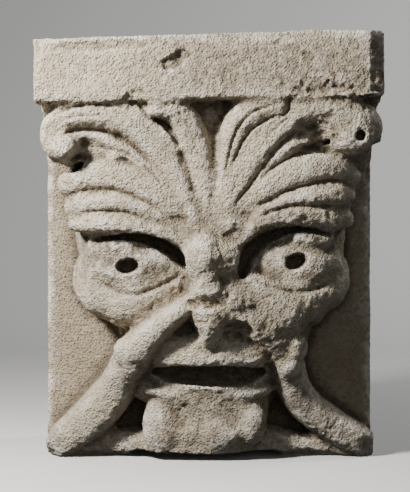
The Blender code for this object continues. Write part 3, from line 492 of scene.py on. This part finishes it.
# Lines cut with the chisel: half width and depth in millimetres, then (across, up) stations
LINES = [
    (2.6, 2.4, [(-0.640, 0.430), (-0.560, 0.408), (-0.430, 0.398), (-0.290, 0.416), (-0.140, 0.452)]),
    (2.4, 2.2, [(0.230, 0.440), (0.350, 0.416), (0.500, 0.404), (0.640, 0.410), (0.760, 0.436)]),
    (2.0, 2.6, [(-0.260, 0.640), (-0.330, 0.677), (-0.430, 0.710), (-0.520, 0.727), (-0.640, 0.738)]),
    (1.6, 2.6, [(0.280, 0.655), (0.340, 0.682), (0.430, 0.706), (0.510, 0.722), (0.600, 0.724)]),
    (2.4, 2.2, [(-0.830, 0.622), (-0.753, 0.636), (-0.579, 0.640), (-0.469, 0.630), (-0.365, 0.612),
                (-0.240, 0.585)]),
    (2.4, 2.6, [(0.250, 0.600), (0.380, 0.620), (0.440, 0.636), (0.570, 0.652), (0.704, 0.662),
                (0.820, 0.658)]),
    (1.8, 1.6, [(-0.800, 0.577), (-0.678, 0.590), (-0.568, 0.590), (-0.464, 0.586), (-0.340, 0.572)]),
    (1.8, 1.8, [(0.260, 0.570), (0.380, 0.592), (0.500, 0.602), (0.640, 0.602), (0.800, 0.604)]),
    (1.8, 1.8, [(-0.585, 0.262), (-0.550, 0.240), (-0.490, 0.212)]),
    (1.8, 3.0, [(-0.425, 0.850), (-0.385, 0.826), (-0.360, 0.808), (-0.320, 0.800), (-0.270, 0.790)]),
    (1.5, 2.4, [(0.455, 0.842), (0.455, 0.822), (0.430, 0.808), (0.380, 0.800)]),
]


def chisel(spots, line, width, depth):
    """Cuts a groove into the carved front along a line of (across, up) shares, fading at both ends."""
    points = along([place[:2] for place in line], steps=8) * (HALF_WIDTH, BLOCK_HEIGHT)
    low, high = points.min(0) - 2 * width, points.max(0) + 2 * width
    flat = spots[:, (0, 2)]
    near = np.flatnonzero(
        ((flat > low) & (flat < high)).all(axis=1) & (spots[:, 1] < GROUND_Y - 0.2 * RELIEF)
        & (spots[:, 2] < TABLET_BED)
    )
    gap = np.full(len(near), np.inf)
    place = np.zeros(len(near))
    for i, (start, end) in enumerate(zip(points, points[1:])):
        run = end - start
        t = np.clip((flat[near] - start) @ run / (run @ run), 0, 1)
        away = np.linalg.norm(flat[near] - start - t[:, None] * run, axis=1)
        closer = away < gap
        gap[closer] = away[closer]
        place[closer] = (i + t[closer]) / (len(points) - 1)
    fade = np.clip(np.minimum(place, 1 - place) * 7, 0, 1)
    cut = np.clip(1 - gap / (width * (0.6 + 0.4 * fade)), 0, 1) ** 1.2
    spots[near, 1] += depth * cut * fade


def iris(spots, across, up, turn):
    """A shallow dish around the pupil with a faint rim."""
    reach = 13 * MM
    flat = spots[:, (0, 2)] - (across * HALF_WIDTH, up * BLOCK_HEIGHT)
    turned = math.radians(turn)
    long = flat[:, 0] * math.cos(turned) - flat[:, 1] * math.sin(turned)
    tall = (flat[:, 0] * math.sin(turned) + flat[:, 1] * math.cos(turned)) * 1.25
    away = np.hypot(long, tall) / reach
    front = spots[:, 1] < GROUND_Y - 0.55 * RELIEF
    dish = np.clip(1 - away, 0, 1) * 2.0 * MM - np.exp(-(((away - 1.0) / 0.16) ** 2)) * 0.35 * MM
    spots[:, 1] += np.where(front & (away < 1.6), dish, 0)


def cut_lines(spots):
    """The leaves' flutes, the lines of brows and lids, and the dished irises."""
    for number, share, start, end, width, depth in FLUTES:
        upper, lower = (along(edge) for edge in LEAVES[number])
        line = (upper + (lower - upper) * share)[int(start * len(upper)):int(end * len(upper)) + 1]
        chisel(spots, line[::3], width * MM, depth * MM)
    for width, depth, line in LINES:
        chisel(spots, line, width * MM, depth * MM)
    for across, up, turn in PUPILS:
        iris(spots, across, up, turn)


def set_askew(spots):
    """The tablet's lower edge was cut sloping, lower at the left."""
    share = np.clip((BLOCK_HEIGHT - spots[:, 2]) / TABLET_HEIGHT, 0, 1)
    below = np.clip((spots[:, 2] - TABLET_BED + TABLET_HEIGHT / 3) / (TABLET_HEIGHT / 4), 0, 1)
    ahead = np.clip((GROUND_Y - COVE_RADIUS - spots[:, 1]) / (RELIEF - COVE_RADIUS) * 4, 0, 1)
    spots[:, 2] += TABLET_TILT * spots[:, 0] / BLOCK_WIDTH * share * below * ahead


def wear_top(spots):
    """Time lowered the top edge towards the left front corner."""
    left = np.clip((HALF_WIDTH * 0.6 - spots[:, 0]) / (1.6 * HALF_WIDTH), 0, 1)
    front = np.clip(1 - (spots[:, 1] - FRONT_Y) / TOP_WEAR_REACH, 0, 1)
    high = np.clip((spots[:, 2] - BLOCK_HEIGHT + 4 * TOP_WEAR) / (4 * TOP_WEAR), 0, 1)
    spots[:, 2] -= TOP_WEAR * left * front * high


def clouds(spots, size, octaves=3, seed=0.0):
    """Soft noise from about -1 to 1 whose lumps are this big."""
    shift = Vector((seed, seed * 0.7, -seed))
    return np.array([noise.fractal(Vector(spot) / size + shift, 1.0, 2.0, octaves) for spot in spots])


def pits(spots, spacing, share, seed=0.0):
    """From 0 to 1 inside scattered round pits: one site for each spacing, and that share of sites used."""
    depth = np.zeros(len(spots))
    shift = Vector((seed, -seed, seed * 0.5))
    for i, spot in enumerate(spots):
        away, sites = noise.voronoi(Vector(spot) / spacing + shift)
        luck = noise.cell(sites[0] * 7.3) * 0.5 + 0.5
        if luck < share:
            depth[i] = max(0.0, 1 - away[0] / (0.25 + 0.35 * luck / share)) ** 0.6
    return depth


# Places where the stone is broken away or crumbling: (across, up), radii across and up in shares, depth in
# millimetres into the stone, and how raggedly, from 0 to 1
LOSSES = [
    (-0.205, 0.930, 0.075, 0.020, 3.8, 0.9),
    (-0.145, 0.947, 0.050, 0.016, 3.2, 0.9),
    (-0.445, 0.846, 0.040, 0.014, 4.0, 0.6),
    (-1.000, 0.965, 0.050, 0.035, 3.0, 0.8),
    (-0.62, 0.975, 0.30, 0.016, 2.2, 0.8),
    (0.45, 0.996, 0.55, 0.012, 2.0, 0.9),
    (0.900, 0.880, 0.060, 0.024, 1.8, 0.8),
    (0.620, 0.864, 0.200, 0.020, 2.4, 0.5),
    (0.56, 0.935, 0.04, 0.012, 1.2, 0.9),
    (0.76, 0.856, 0.30, 0.014, 2.4, 0.7),
    (-0.42, 0.862, 0.06, 0.010, 2.0, 0.9),
    (0.64, 0.774, 0.16, 0.036, 3.2, 1.0),
    (0.57, 0.786, 0.045, 0.012, 2.4, 1.0),
    (0.63, 0.764, 0.050, 0.014, 3.4, 1.0),
    (0.69, 0.780, 0.050, 0.014, 2.6, 1.0),
    (0.66, 0.796, 0.040, 0.010, 2.4, 1.0),
    (0.71, 0.754, 0.060, 0.012, 2.6, 1.0),
    (0.03, 0.425, 0.07, 0.016, 1.4, 0.9),
    (-0.035, 0.377, 0.12, 0.018, 5.0, 0.6),
    (0.16, 0.532, 0.14, 0.030, 1.2, 0.5),
    (-0.22, 0.560, 0.16, 0.024, 1.4, 1.0),
    (0.55, 0.572, 0.26, 0.016, 1.0, 0.6),
    (-0.55, 0.240, 0.08, 0.030, 1.4, 0.9),
    (0.58, 0.300, 0.12, 0.040, 0.8, 1.0),
    (0.40, 0.300, 0.12, 0.040, 0.9, 1.0),
    (0.02, 0.270, 0.08, 0.020, 1.4, 0.8),
    (-0.17, 0.112, 0.12, 0.045, 2.8, 0.2),
    (0.13, 0.112, 0.11, 0.045, 2.6, 0.2),
    (-0.22, 0.000, 0.14, 0.018, 7.0, 0.4),
    (0.16, 0.000, 0.08, 0.014, 6.0, 0.4),
    (0.56, 0.000, 0.26, 0.016, 6.0, 0.5),
    (-0.98, 0.010, 0.07, 0.030, 5.0, 0.4),
    (0.99, 0.020, 0.08, 0.040, 6.0, 0.4),
]


def break_away(spots):
    """Knocks the losses out of the carved front."""
    front = spots[:, 1] < GROUND_Y - 0.15 * RELIEF
    for i, (across, up, wide, tall, depth, ragged) in enumerate(LOSSES):
        along_x = (spots[:, 0] / HALF_WIDTH - across) / wide
        along_z = (spots[:, 2] / BLOCK_HEIGHT - up) / tall
        near = np.flatnonzero(front & (np.hypot(along_x, along_z) < 1.8))
        away = np.hypot(along_x[near], along_z[near])
        lumps = clouds(spots[near], 8 * MM, 3, seed=3.1 * i + 1)
        edge = np.clip((1.0 + 0.6 * ragged * lumps - away) / (0.8 - 0.4 * ragged), 0, 1)
        spots[near, 1] += depth * MM * edge * (1 - 0.35 * ragged * np.clip(lumps + 0.3, 0, 1))


# Where the skin is coarser than elsewhere: (across, up), radii across and up in shares, and how much
ROUGHER = [
    (0.640, 0.772, 0.16, 0.040, 1.0), (-0.030, 0.484, 0.12, 0.045, 0.7), (0.160, 0.400, 0.18, 0.090, 0.6),
    (0.250, 0.555, 0.24, 0.030, 0.8), (-0.250, 0.560, 0.22, 0.030, 0.7), (0.620, 0.870, 0.24, 0.030, 2.4),
    (0.450, 0.300, 0.24, 0.060, 0.7), (-0.500, 0.240, 0.14, 0.040, 0.6),
    (-0.850, 0.745, 0.10, 0.040, 0.4),
]


def patches_on(spots, patches):
    """How strongly each point of the carved front lies in any of the patches, up to a patch's amount."""
    held = np.zeros(len(spots))
    for across, up, wide, tall, amount in patches:
        away = np.hypot((spots[:, 0] / HALF_WIDTH - across) / wide, (spots[:, 2] / BLOCK_HEIGHT - up) / tall)
        held = np.maximum(held, amount * np.clip(1.6 - away, 0, 1))
    return held * (spots[:, 1] < GROUND_Y)


def round_arrises(spots):
    """Wears the edges of the tablet and the ground round, by 1 to 6 mm and more at the top corners."""
    reach = np.clip(2.6 + 2.6 * clouds(spots, 34 * MM, 3, seed=21.0), 0.8, 6.0) * MM
    top = spots[:, 2] > TABLET_BED - 2 * MM
    ahead = np.where(top, FRONT_Y, GROUND_Y)
    left, right = spots[:, 0] + HALF_WIDTH, HALF_WIDTH - spots[:, 0]
    front, high = spots[:, 1] - ahead, BLOCK_HEIGHT - spots[:, 2]
    moved = spots.copy()
    for first, second, axes, signs, scale in (
        (left, front, (0, 1), (1, 1), 1.0), (right, front, (0, 1), (-1, 1), 1.0),
        (front, high, (1, 2), (1, -1), 1.0), (left, high, (0, 2), (1, -1), 2.2),
        (right, high, (0, 2), (-1, -1), 1.4),
    ):
        radius = reach * scale
        inside = (first < radius) & (second < radius) & (first > -radius) & (second > -radius)
        away = np.hypot(radius - first, radius - second)
        short = np.where(inside & (away > radius), 1 - radius / np.maximum(away, 1e-9), 0)
        moved[:, axes[0]] += signs[0] * short * (radius - first)
        moved[:, axes[1]] += signs[1] * short * (radius - second)
    return np.where((spots[:, 1] < BACK_Y - TRUE_TAIL)[:, None], moved, spots)


def weather(mesh):
    """Wears the arrises, rounds the bosses, and gives the skin its waves, lumps and pits."""
    crisp, normals = spots_of(mesh)
    softer = worked(mesh.copy(), "softer", [("SMOOTH", {"factor": 0.6, "iterations": 14})])
    soft, _ = spots_of(softer)
    bulge = -((soft - crisp) * normals).sum(axis=1)
    patches = clouds(crisp, 24 * MM, 4, seed=5.0)
    worn = np.clip(0.50 + 1.1 * patches, 0.15, 1.0) * (bulge > 0)
    spots = crisp + (soft - crisp) * worn[:, None]
    waves = clouds(crisp, 30 * MM, 2, seed=9.0)
    lumps = clouds(crisp, 8 * MM, 2, seed=2.0)
    grains = clouds(crisp, 3.4 * MM, 2, seed=4.0)
    holes = pits(crisp, 4.2 * MM, 0.12, seed=1.0)
    coarse = np.clip(0.5 + 0.9 * clouds(crisp, 40 * MM, 3, seed=12.0), 0.2, 1.0)
    carved_side = np.clip((BACK_Y - FADE_START - crisp[:, 1]) / FADE_LENGTH, 0.25, 1)
    grain = 0.35 * lumps + (0.35 + 0.45 * coarse) * grains + (0.4 + 0.5 * coarse) * holes
    grain *= 1 + 0.6 * patches_on(crisp, ROUGHER)
    return spots - normals * ((0.4 * waves + carved_side * grain + 0.3) * MM)[:, None]


def planed(spots, crisp):
    """Keeps the bed, the back and most of the top true, and everything inside the block's own size."""
    for axis, level, side in ((2, 0.0, -1), (1, BACK_Y, 1), (2, BLOCK_HEIGHT, 1)):
        flat = abs(crisp[:, axis] - level) < 0.3 * MM
        sunk = np.clip(abs(spots[flat, axis] - level) - 0.6 * MM, 0, None)
        spots[flat, axis] = level - side * sunk
    return np.clip(spots, np.array(LOW), np.array(HIGH))


def cavity_of(mesh):
    """How deep each point lies in a hollow, from -1 on a sharp edge to 1 in a deep groove."""
    spots, normals = spots_of(mesh)
    softer = worked(mesh.copy(), "softer", [("SMOOTH", {"factor": 0.9, "iterations": 30})])
    soft, _ = spots_of(softer)
    return np.clip(((soft - spots) * normals).sum(axis=1) / (1.8 * MM), -1, 1)


# Where soil and painted shade darken the stone, in the same terms as ROUGHER: mostly painted shade, in the
# eyes, beside the nose, under the lip, on the chin and on the tablet, with some real dirt
SOIL_AND_SHADE = [
    (-0.480, 0.482, 0.30, 0.060, 0.85), (0.480, 0.486, 0.30, 0.062, 0.60), (-0.270, 0.566, 0.24, 0.045, 0.45),
    (0.160, 0.556, 0.34, 0.055, 0.50), (0.230, 0.410, 0.14, 0.110, 0.45), (-0.400, 0.190, 0.14, 0.055, 0.50),
    (-0.020, 0.142, 0.40, 0.022, 0.45), (-0.020, 0.085, 0.46, 0.085, 0.55), (0.640, 0.772, 0.18, 0.040, 0.60),
    (0.470, 0.310, 0.26, 0.060, 0.35), (0.640, 0.125, 0.30, 0.090, 0.60),
    (0.050, 0.925, 0.35, 0.070, 0.62), (0.450, 0.925, 0.40, 0.070, 0.66), (0.850, 0.925, 0.30, 0.080, 0.62),
]


def modillion():
    """The finished stone, as one piece."""
    carved = hewn_block()
    spots, _ = spots_of(carved)
    cut_lines(spots)
    break_away(spots)
    set_askew(spots)
    wear_top(spots)
    spots = round_arrises(spots)
    put_back(carved, spots)
    put_back(carved, planed(weather(carved), spots))
    faces = sum(len(polygon.vertices) - 2 for polygon in carved.polygons)
    plainness = np.clip((spots[:, 1] - GROUND_Y + 0.4 * RELIEF) / (0.4 * RELIEF), KEPT_DETAIL, 1)
    thinned = worked(carved, "thinned", [
        ("DECIMATE", {"ratio": MOST_TRIANGLES / faces, "use_collapse_triangulate": True,
                      "vertex_group": "weights", "vertex_group_factor": KEPT_FACTOR}),
    ], weights=plainness)
    spots, _ = spots_of(thinned)
    put_back(thinned, np.clip(spots, np.array(LOW), np.array(HIGH)))
    cavity = thinned.attributes.new("cavity", "FLOAT", "POINT")
    cavity.data.foreach_set("value", cavity_of(thinned).astype(np.float32))
    # The soil patches carry painted shade as well as dirt: how strongly each point lies in them
    soil_and_shade = thinned.attributes.new("soil_and_shade", "FLOAT", "POINT")
    soil_and_shade.data.foreach_set("value", patches_on(spots, SOIL_AND_SHADE).astype(np.float32))
    for polygon in thinned.polygons:
        polygon.use_smooth = True
    piece = bpy.data.objects.new("carved_modillion", thinned)
    bpy.context.scene.collection.objects.link(piece)
    return piece


def linear(hex_colour):
    """An sRGB hex colour as linear red, green, blue and alpha."""
    parts = [int(hex_colour[i:i + 2], 16) / 255 for i in (1, 3, 5)]
    return (*(p / 12.92 if p <= 0.04045 else ((p + 0.055) / 1.055) ** 2.4 for p in parts), 1.0)


def add(tree, kind, settings=(), links=()):
    """A node with its settings, by property or by input, and its links from other nodes' outputs."""
    node = tree.nodes.new(kind)
    for key, value in dict(settings).items():
        if isinstance(key, str) and hasattr(node, key):
            setattr(node, key, value)
        else:
            node.inputs[key].default_value = value
    for key, source in dict(links).items():
        tree.links.new(source, node.inputs[key])
    return node


def limestone():
    """Weathered limestone: open grained, chalky and without gloss, darker and browner deep in the relief, and
    darkened in its hollows and patches by painted shade together with lodged dirt.
    """
    material = bpy.data.materials.new("weathered limestone")
    material.use_nodes = True
    tree = material.node_tree
    shader = tree.nodes["Principled BSDF"]
    shader.inputs["Roughness"].default_value = 0.93
    shader.inputs["IOR"].default_value = 1.50
    shader.inputs["Specular IOR Level"].default_value = 0.30
    place = add(tree, "ShaderNodeTexCoord").outputs["Object"]

    def cloud(size_mm, detail=4.0, roughness=0.6):
        """Noise whose lumps have this size in millimetres."""
        settings = {"Scale": 1 / (size_mm * MM), "Detail": detail, "Roughness": roughness}
        return add(tree, "ShaderNodeTexNoise", settings, {"Vector": place}).outputs["Fac"]

    def spread(value, low, high, start=0.0, end=1.0):
        """The value stretched so that low gives start and high gives end."""
        settings = {"From Min": low, "From Max": high, "To Min": start, "To Max": end}
        return add(tree, "ShaderNodeMapRange", settings, {"Value": value}).outputs["Result"]

    def blend(amount, below, above):
        """One colour laid over another by this amount."""
        node = add(tree, "ShaderNodeMix", {"data_type": "RGBA"})
        tree.links.new(amount, node.inputs["Factor"])
        for socket, colour in ((node.inputs[6], below), (node.inputs[7], above)):
            if isinstance(colour, str):
                socket.default_value = linear(colour)
            else:
                tree.links.new(colour, socket)
        return node.outputs[2]

    def product(first, second):
        """Two values multiplied."""
        return add(tree, "ShaderNodeMath", {"operation": "MULTIPLY"}, {0: first, 1: second}).outputs[0]

    cavity = add(tree, "ShaderNodeAttribute", {"attribute_name": "cavity"}).outputs["Fac"]
    soil_and_shade = add(tree, "ShaderNodeAttribute", {"attribute_name": "soil_and_shade"}).outputs["Fac"]
    deep = add(tree, "ShaderNodeSeparateXYZ", (), {0: place}).outputs["Y"]
    stone = blend(spread(cloud(45), 0.35, 0.65), "#bcae96", "#d2c6af")
    stone = blend(spread(cloud(9, 5.0), 0.42, 0.72, 0.0, 0.55), stone, "#a89a84")
    stone = blend(spread(cloud(2.2, 3.0), 0.52, 0.75, 0.0, 0.60), stone, "#8b7e6c")
    stone = blend(spread(cloud(1.5, 2.0), 0.56, 0.74, 0.0, 0.60), stone, "#e2dccf")
    # Darker and browner deep in the relief, towards the carved ground
    stone = blend(spread(deep, GROUND_Y - 0.030, GROUND_Y - 0.006, 0.0, 0.55), stone, "#8f8069")
    # Painted shade and soil: a darker brown laid over the patches of soil and shade
    stone = blend(product(soil_and_shade, spread(cloud(5, 5.0), 0.30, 0.62)), stone, "#5c5145")
    # Painted shade in the grooves and hollows, together with the dirt lodged there
    stone = blend(spread(cavity, 0.05, 0.75, 0.0, 0.80), stone, "#5f5344")
    stone = blend(product(spread(cavity, -0.10, -0.60), spread(cloud(14), 0.40, 0.60)), stone, "#e0d9cb")
    tree.links.new(stone, shader.inputs["Base Color"])

    grain = add(tree, "ShaderNodeBump", {"Strength": 1.0, "Distance": 2.2 * MM},
                {"Height": cloud(1.4, 3.0, 0.70)})
    sites = add(tree, "ShaderNodeTexVoronoi", {"Scale": 1 / (2.0 * MM)}, {"Vector": place})
    pocks = add(tree, "ShaderNodeBump", {"Strength": 0.8, "Distance": 1.3 * MM},
                {"Height": spread(sites.outputs["Distance"], 0.02, 0.60), "Normal": grain.outputs["Normal"]})
    tree.links.new(pocks.outputs["Normal"], shader.inputs["Normal"])
    return material


# The photograph's view: the camera's distance from the carved ground, its focal length in pixels of the
# photograph, and the point it looks at
PHOTO_HEIGHT = 492
FOCAL_PIXELS = 1512
CAMERA_DISTANCE = 1.12
CAMERA_ACROSS = -0.0030
CAMERA_HEIGHT = 0.153
SENSOR = 36.0


def camera():
    """A long lens square to the face."""
    view = bpy.data.cameras.new("camera")
    view.sensor_fit = "VERTICAL"
    view.sensor_height = SENSOR
    view.lens = SENSOR * FOCAL_PIXELS / PHOTO_HEIGHT
    holder = bpy.data.objects.new("camera", view)
    holder.location = (CAMERA_ACROSS, GROUND_Y - CAMERA_DISTANCE, CAMERA_HEIGHT)
    holder.rotation_euler = (math.radians(90), 0, 0)
    bpy.context.scene.collection.objects.link(holder)
    bpy.context.scene.camera = holder


def lamp(name, place, aim, size, watts, colour):
    """A square soft box that faces its aim."""
    light = bpy.data.lights.new(name, "AREA")
    light.size = size
    light.energy = watts
    light.color = colour
    holder = bpy.data.objects.new(name, light)
    holder.location = place
    holder.rotation_euler = (Vector(aim) - Vector(place)).to_track_quat("-Z", "Y").to_euler()
    bpy.context.scene.collection.objects.link(holder)


def studio():
    """A pale sweep of floor and wall, a key light from the upper left and weak fills."""
    sweep = bmesh.new()
    bmesh.ops.create_grid(sweep, x_segments=2, y_segments=2, size=3.0)
    edge = [e for e in sweep.edges if all(v.co.y > 2.9 for v in e.verts)]
    wall = bmesh.ops.extrude_edge_only(sweep, edges=edge)["geom"]
    bmesh.ops.translate(sweep, vec=(0, 0, 3.0), verts=[g for g in wall if isinstance(g, bmesh.types.BMVert)])
    bmesh.ops.translate(sweep, vec=(0, -1.0, 0), verts=sweep.verts)
    bend = [e for e in sweep.edges if all(v.co.y > 1.9 and v.co.z < 0.1 for v in e.verts)]
    bmesh.ops.bevel(sweep, geom=bend, offset=0.9, affect="EDGES", segments=16, profile=0.5, material=-1)
    mesh = bpy.data.meshes.new("studio_sweep")
    sweep.to_mesh(mesh)
    sweep.free()
    for polygon in mesh.polygons:
        polygon.use_smooth = True
    material = bpy.data.materials.new("pale backdrop paper")
    material.use_nodes = True
    shader = material.node_tree.nodes["Principled BSDF"]
    shader.inputs["Base Color"].default_value = linear("#dcdcda")
    shader.inputs["Roughness"].default_value = 0.85
    mesh.materials.append(material)
    floor = bpy.data.objects.new("studio_sweep", mesh)
    bpy.context.scene.collection.objects.link(floor)
    floor.visible_diffuse = False
    middle = (0, 0, 0.15)
    lamp("key", (-0.42, -0.42, 0.50), middle, 0.100, 12.5, (1.0, 0.97, 0.93))
    lamp("fill", (0.3, -2.2, 0.4), middle, 1.6, 9, (0.95, 0.97, 1.0))
    lamp("backdrop", (1.4, 1.0, 2.2), (0.4, 2.0, 0.4), 1.2, 40, (1.0, 1.0, 1.0))
    world = bpy.data.worlds.new("studio")
    world.use_nodes = True
    world.node_tree.nodes["Background"].inputs["Color"].default_value = linear("#c8ccd2")
    world.node_tree.nodes["Background"].inputs["Strength"].default_value = 0.04
    bpy.context.scene.world = world


piece = modillion()
piece.data.materials.clear()
piece.data.materials.append(limestone())
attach(piece, "root")
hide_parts("modillion")
camera()
studio()
